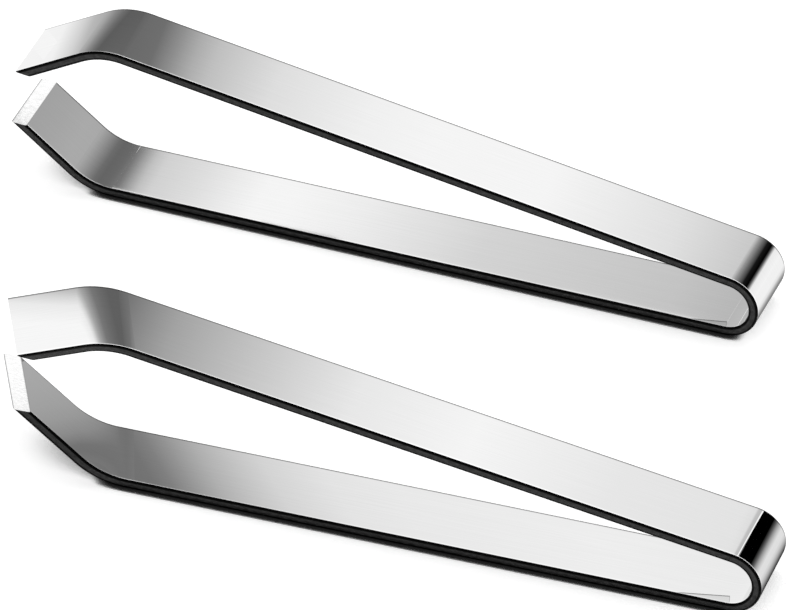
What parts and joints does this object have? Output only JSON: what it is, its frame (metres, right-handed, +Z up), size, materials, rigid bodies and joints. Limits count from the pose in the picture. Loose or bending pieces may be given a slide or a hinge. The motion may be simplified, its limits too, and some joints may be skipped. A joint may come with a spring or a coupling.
{
  "type": "fish bone tweezers",
  "caption": "Folded steel fish bone tweezers as a set, with square and slanted tips: springy flat strips with bent, ground jaws.",
  "frame": {"origin": "on the table, under the middle of the whole set", "axes": "+X along the square-tipped tweezers from tips to bow, +Y across the strip, +Z up from the table"},
  "size_m": [0.14, 0.0778, 0.026],
  "materials": {
    "stainless_steel": "polished, with a faint grain along the strip"
  },
  "bodies": {
    "square_lower": {"square_lower_arm": "stainless_steel", "square_spring_bow": "stainless_steel"},
    "square_upper": {"square_upper_arm": "stainless_steel"},
    "slanted_lower": {"slanted_lower_arm": "stainless_steel", "slanted_spring_bow": "stainless_steel"},
    "slanted_upper": {"slanted_upper_arm": "stainless_steel"}
  },
  "joints": [
    {"name": "square_squeeze", "type": "hinge", "parent": "square_lower", "child": "square_upper", "pos_m": [0.04509, 0.03288, 0.00496], "axis": [0, -1, 0], "range_deg": [0, 4.55], "stiffness_Nm_per_rad": 10, "deforming": ["square_spring_bow"]},
    {"name": "slanted_lift", "type": "slide", "parent": "square_lower", "child": "slanted_lower", "axis": [0, 0, 1], "range_m": [0, 0.05]},
    {"name": "slanted_squeeze", "type": "hinge", "parent": "slanted_lower", "child": "slanted_upper", "pos_m": [0.06759, -0.02921, 0.00496], "axis": [0.0384, -0.9993, 0], "range_deg": [0, 4.95], "stiffness_Nm_per_rad": 10, "deforming": ["slanted_spring_bow"]}
  ]
}
